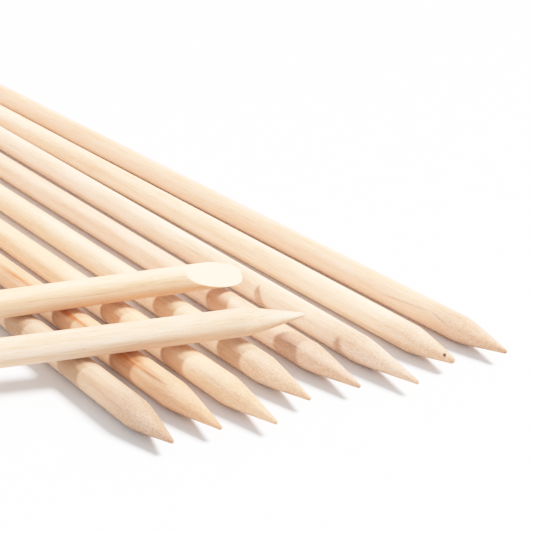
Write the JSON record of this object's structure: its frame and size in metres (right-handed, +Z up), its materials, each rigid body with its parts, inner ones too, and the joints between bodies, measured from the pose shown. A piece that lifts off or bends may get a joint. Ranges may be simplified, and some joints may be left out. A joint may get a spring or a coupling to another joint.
{
  "type": "cuticle pusher set",
  "caption": "Loose round wooden sticks laid in a row with more leaning across them, each with a blunt cone at one end and a slanted flat at the other, for pushing back cuticles.",
  "frame": {"origin": "on the table, under the middle of the set's bounding box", "axes": "+X along the row towards the points, +Y from the front row stick to the rear one, +Z up"},
  "size_m": [0.1925, 0.1778, 0.0087],
  "materials": {
    "row_wood": "sanded, unfinished",
    "top_wood": "sanded, unfinished"
  },
  "bodies": {
    "row_stick_1": {"row_stick_1": "row_wood"},
    "row_stick_2": {"row_stick_2": "row_wood"},
    "row_stick_3": {"row_stick_3": "row_wood"},
    "row_stick_4": {"row_stick_4": "row_wood"},
    "row_stick_5": {"row_stick_5": "row_wood"},
    "row_stick_6": {"row_stick_6": "row_wood"},
    "row_stick_7": {"row_stick_7": "row_wood"},
    "row_stick_8": {"row_stick_8": "row_wood"},
    "top_stick_flat_end": {"top_stick_flat_end": "top_wood"},
    "top_stick_point_end": {"top_stick_point_end": "top_wood"}
  },
  "joints": [
    {"name": "row_stick_1_pull", "type": "slide", "parent": "row_stick_5", "child": "row_stick_1", "axis": [0.9999, 0.0122, 0], "range_m": [0, 0.185]},
    {"name": "row_stick_2_pull", "type": "slide", "parent": "row_stick_5", "child": "row_stick_2", "axis": [1, 0.007, 0], "range_m": [0, 0.185]},
    {"name": "row_stick_3_pull", "type": "slide", "parent": "row_stick_5", "child": "row_stick_3", "axis": [1, -0.007, 0], "range_m": [0, 0.185]},
    {"name": "row_stick_4_pull", "type": "slide", "parent": "row_stick_5", "child": "row_stick_4", "axis": [1, -0.0052, 0], "range_m": [0, 0.185]},
    {"name": "row_stick_6_pull", "type": "slide", "parent": "row_stick_5", "child": "row_stick_6", "axis": [1, 0, 0], "range_m": [0, 0.185]},
    {"name": "row_stick_7_pull", "type": "slide", "parent": "row_stick_5", "child": "row_stick_7", "axis": [1, 0.0035, 0], "range_m": [0, 0.185]},
    {"name": "row_stick_8_pull", "type": "slide", "parent": "row_stick_5", "child": "row_stick_8", "axis": [1, -0.0052, 0], "range_m": [0, 0.185]},
    {"name": "top_stick_flat_end_lift", "type": "slide", "parent": "row_stick_5", "child": "top_stick_flat_end", "axis": [0, 0, 1], "range_m": [0, 0.03]},
    {"name": "top_stick_point_end_lift", "type": "slide", "parent": "row_stick_5", "child": "top_stick_point_end", "axis": [0, 0, 1], "range_m": [0, 0.03]}
  ]
}
